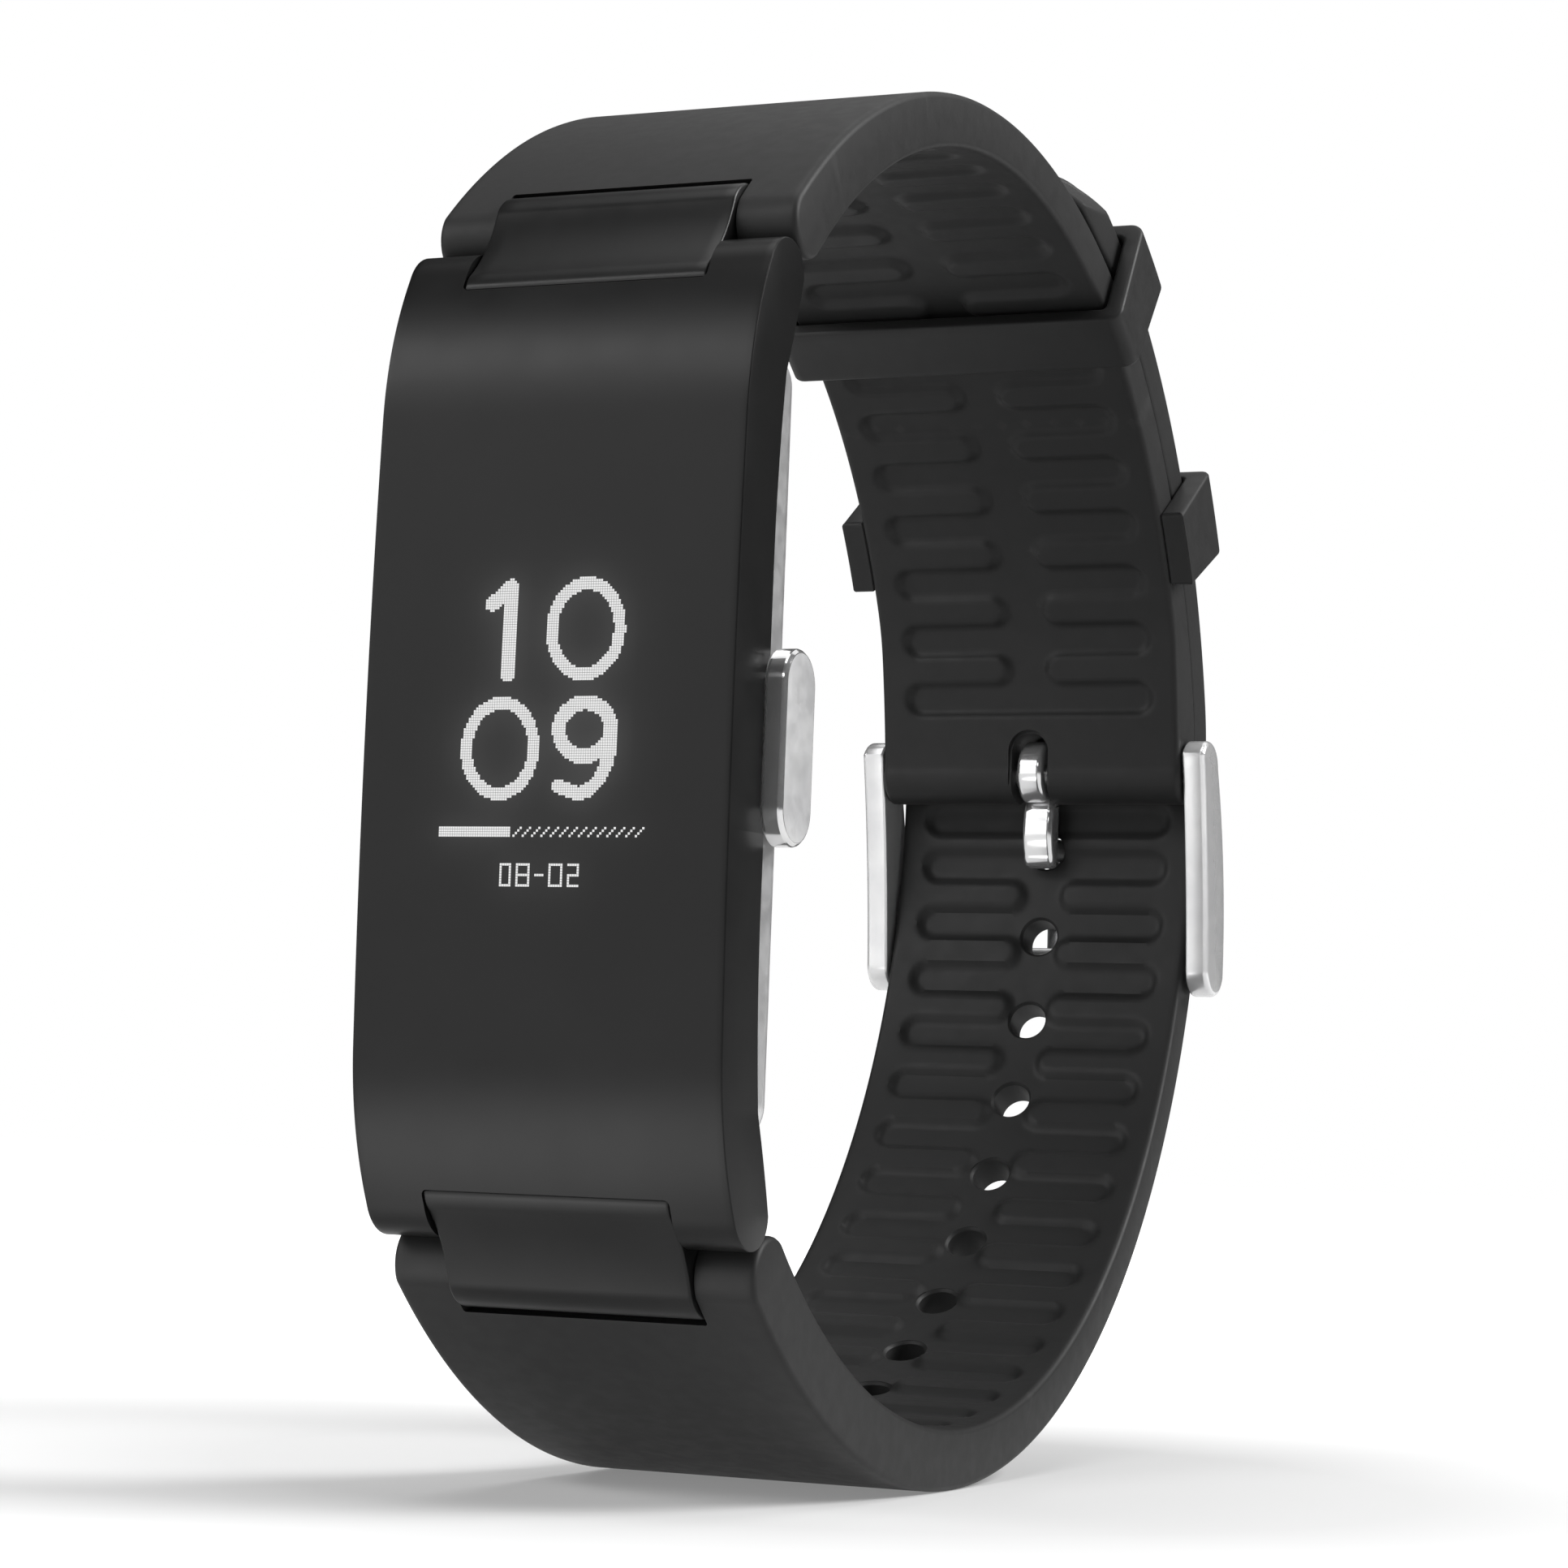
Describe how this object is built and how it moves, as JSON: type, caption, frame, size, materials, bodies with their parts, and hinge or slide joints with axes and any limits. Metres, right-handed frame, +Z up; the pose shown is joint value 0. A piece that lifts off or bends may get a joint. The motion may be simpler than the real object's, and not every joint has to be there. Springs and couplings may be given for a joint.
{
  "type": "fitness tracker band",
  "caption": "Buckled fitness tracker band: slim curved black case with a side button and a silicone strap with keepers, pin buckle and sizing holes.",
  "frame": {"origin": "bottom centre of the buckled band's bounding box, under the lowest point of the lower strap's bend", "axes": "+Z up along the case, -Y out of the display face, +X towards the button side, across the band"},
  "size_m": [0.0208, 0.0672, 0.0685],
  "materials": {
    "cover_black": "satin black polycarbonate",
    "tape_black": "matte adhesive",
    "display_glass": "gloss",
    "flex_amber": "satin polyimide",
    "frame_black": "gloss black moulding",
    "seal_grey": "matte",
    "case_metal": "satin bead-blasted",
    "board_green": "solder mask",
    "chip_black": "matte epoxy",
    "ceramic": "matte ceramic",
    "switch_body": "matte",
    "switch_plunger": "matte",
    "battery_foil": "foil",
    "foam_pad": "matte foam",
    "cradle_rubber": "matte",
    "motor_steel": "drawn steel",
    "tungsten": "sintered",
    "sensor_board": "solder mask",
    "led_lens": "milky",
    "photodiode": "gloss",
    "window_smoke": "gloss smoked",
    "contact_gold": "gold plated",
    "button_steel": "brushed face, polished edge",
    "clip_steel": "spring steel",
    "seal_black": "matte",
    "strap_silicone": "matte silicone",
    "keeper_silicone": "matte silicone",
    "buckle_steel": "polished stainless steel",
    "prong_chrome": "mirror polished",
    "bar_steel": "stainless steel"
  },
  "bodies": {
    "case": {"front_cover": "cover_black", "display_tape": "tape_black", "display_panel": "display_glass", "display_flex": "flex_amber", "mid_frame": "frame_black", "case_seal": "seal_grey", "case_back": "case_metal", "main_board": "board_green", "processor_chip": "chip_black", "antenna_chip": "ceramic", "tact_switch": "switch_body", "battery": "battery_foil", "battery_pad": "foam_pad", "motor_cradle": "cradle_rubber", "motor_can": "motor_steel", "sensor_board": "sensor_board", "sensor_leds": "led_lens", "photodiode": "photodiode", "sensor_window": "window_smoke", "charging_contacts": "contact_gold", "button_seal": "seal_black", "lower_strap": "strap_silicone", "upper_bar_tube": "bar_steel", "upper_bar_spring": "bar_steel", "lower_bar_tube": "bar_steel", "lower_bar_spring": "bar_steel"},
    "upper_strap": {"upper_strap": "strap_silicone", "fixed_keeper": "keeper_silicone", "buckle_bar_tube": "bar_steel", "buckle_bar_spring": "bar_steel"},
    "free_keeper": {"free_keeper": "keeper_silicone"},
    "buckle": {"buckle_frame": "buckle_steel"},
    "prong": {"buckle_prong": "prong_chrome"},
    "button": {"button_cap": "button_steel", "button_clip": "clip_steel"},
    "plunger": {"switch_plunger": "switch_plunger"},
    "motor_weight": {"motor_weight": "tungsten"},
    "upper_pin_right": {"upper_bar_pin_right": "bar_steel"},
    "upper_pin_left": {"upper_bar_pin_left": "bar_steel"},
    "lower_pin_right": {"lower_bar_pin_right": "bar_steel"},
    "lower_pin_left": {"lower_bar_pin_left": "bar_steel"},
    "buckle_pin_right": {"buckle_bar_pin_right": "bar_steel"},
    "buckle_pin_left": {"buckle_bar_pin_left": "bar_steel"}
  },
  "joints": [
    {"name": "upper_strap_hinge", "type": "hinge", "parent": "case", "child": "upper_strap", "pos_m": [0, -0.02779, 0.0574], "axis": [1, 0, 0], "range_deg": [-6, 6], "stiffness_Nm_per_rad": 0.3, "deforming": ["lower_strap"]},
    {"name": "free_keeper_slide", "type": "hinge", "parent": "upper_strap", "child": "free_keeper", "pos_m": [0, -0.00542, 0.03324], "axis": [1, 0, 0], "range_deg": [-15, 5]},
    {"name": "buckle_hinge", "type": "hinge", "parent": "upper_strap", "child": "buckle", "pos_m": [0, 0.02794, 0.03813], "axis": [1, 0, 0], "range_deg": [0, 4]},
    {"name": "prong_hinge", "type": "hinge", "parent": "buckle", "child": "prong", "pos_m": [0, 0.02794, 0.03813], "axis": [1, 0, 0], "range_deg": [0, 2]},
    {"name": "button_press", "type": "slide", "parent": "case", "child": "button", "axis": [-1, 0, 0], "range_m": [0, 0.00035], "stiffness_N_per_m": 600, "springref_m": -0.001},
    {"name": "switch_plunger_slide", "type": "slide", "parent": "case", "child": "plunger", "axis": [-1, 0, 0], "range_m": [0, 0.00035]},
    {"name": "motor_spin", "type": "hinge", "parent": "case", "child": "motor_weight", "pos_m": [0, -0.02909, 0.04595], "axis": [1, 0, 0], "continuous": true},
    {"name": "upper_pin_right_slide", "type": "slide", "parent": "case", "child": "upper_pin_right", "axis": [-1, 0, 0], "range_m": [0, 0.0013], "stiffness_N_per_m": 250, "springref_m": -0.001, "deforming": ["upper_bar_spring"]},
    {"name": "upper_pin_left_slide", "type": "slide", "parent": "case", "child": "upper_pin_left", "axis": [1, 0, 0], "range_m": [0, 0.0013], "stiffness_N_per_m": 250, "springref_m": -0.001, "deforming": ["upper_bar_spring"]},
    {"name": "lower_pin_right_slide", "type": "slide", "parent": "case", "child": "lower_pin_right", "axis": [-1, 0, 0], "range_m": [0, 0.0013], "stiffness_N_per_m": 250, "springref_m": -0.001, "deforming": ["lower_bar_spring"]},
    {"name": "lower_pin_left_slide", "type": "slide", "parent": "case", "child": "lower_pin_left", "axis": [1, 0, 0], "range_m": [0, 0.0013], "stiffness_N_per_m": 250, "springref_m": -0.001, "deforming": ["lower_bar_spring"]},
    {"name": "buckle_pin_right_slide", "type": "slide", "parent": "upper_strap", "child": "buckle_pin_right", "axis": [-1, 0, 0], "range_m": [0, 0.001], "stiffness_N_per_m": 250, "springref_m": -0.001, "deforming": ["buckle_bar_spring"]},
    {"name": "buckle_pin_left_slide", "type": "slide", "parent": "upper_strap", "child": "buckle_pin_left", "axis": [1, 0, 0], "range_m": [0, 0.001], "stiffness_N_per_m": 250, "springref_m": -0.001, "deforming": ["buckle_bar_spring"]}
  ],
  "couplings": [
    {"joint": "switch_plunger_slide", "follows": "button_press", "ratio": 1}
  ]
}
